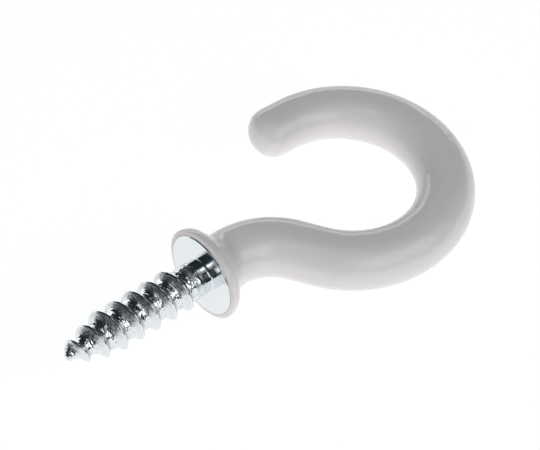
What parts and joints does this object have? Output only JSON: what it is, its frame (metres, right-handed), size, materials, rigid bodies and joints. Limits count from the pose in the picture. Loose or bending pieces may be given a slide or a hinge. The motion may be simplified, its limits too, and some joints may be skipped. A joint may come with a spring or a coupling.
{
  "type": "shouldered screw hook",
  "caption": "Screw hook with a wood screw thread, a round collar and an open question-mark hook in a thick white plastic coat, for hanging cups, keys or light things.",
  "frame": {"origin": "centre of the collar's bearing face, on the screw's axis", "axes": "+X along the screw's axis from the point to the far end of the hook, +Y in the plane of the hook towards its tip, +Z square to that plane, up as the hook lies on a table"},
  "size_m": [0.0493, 0.0258, 0.0098],
  "materials": {
    "zinc_steel": "bright zinc plate",
    "white_plastic": "smooth dipped, satin gloss"
  },
  "bodies": {
    "root": {"steel_hook": "zinc_steel", "plastic_coat": "white_plastic"}
  },
  "joints": []
}
